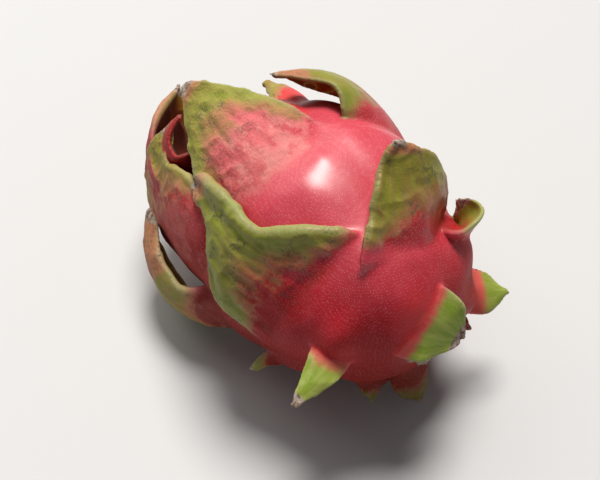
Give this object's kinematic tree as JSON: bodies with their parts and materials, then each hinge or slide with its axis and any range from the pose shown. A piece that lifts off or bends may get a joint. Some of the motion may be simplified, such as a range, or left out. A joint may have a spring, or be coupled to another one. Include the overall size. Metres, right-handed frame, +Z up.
{
  "type": "dragon fruit",
  "caption": "Whole dragon fruit lying on its side: red leathery skin with fleshy green-tipped scales that close over the flower end. A fresh fruit to place on a surface.",
  "frame": {"origin": "middle of the small flat spot under the fruit, on the surface it rests on", "axes": "+Z up; +X along the fruit to its stem end, so the flower end with its long scales is at -X"},
  "size_m": [0.1561, 0.1031, 0.1008],
  "materials": {
    "skin": "waxy red fruit skin that turns green towards the tips of its scales"
  },
  "bodies": {
    "root": {"dragon_fruit": "skin"}
  },
  "joints": []
}
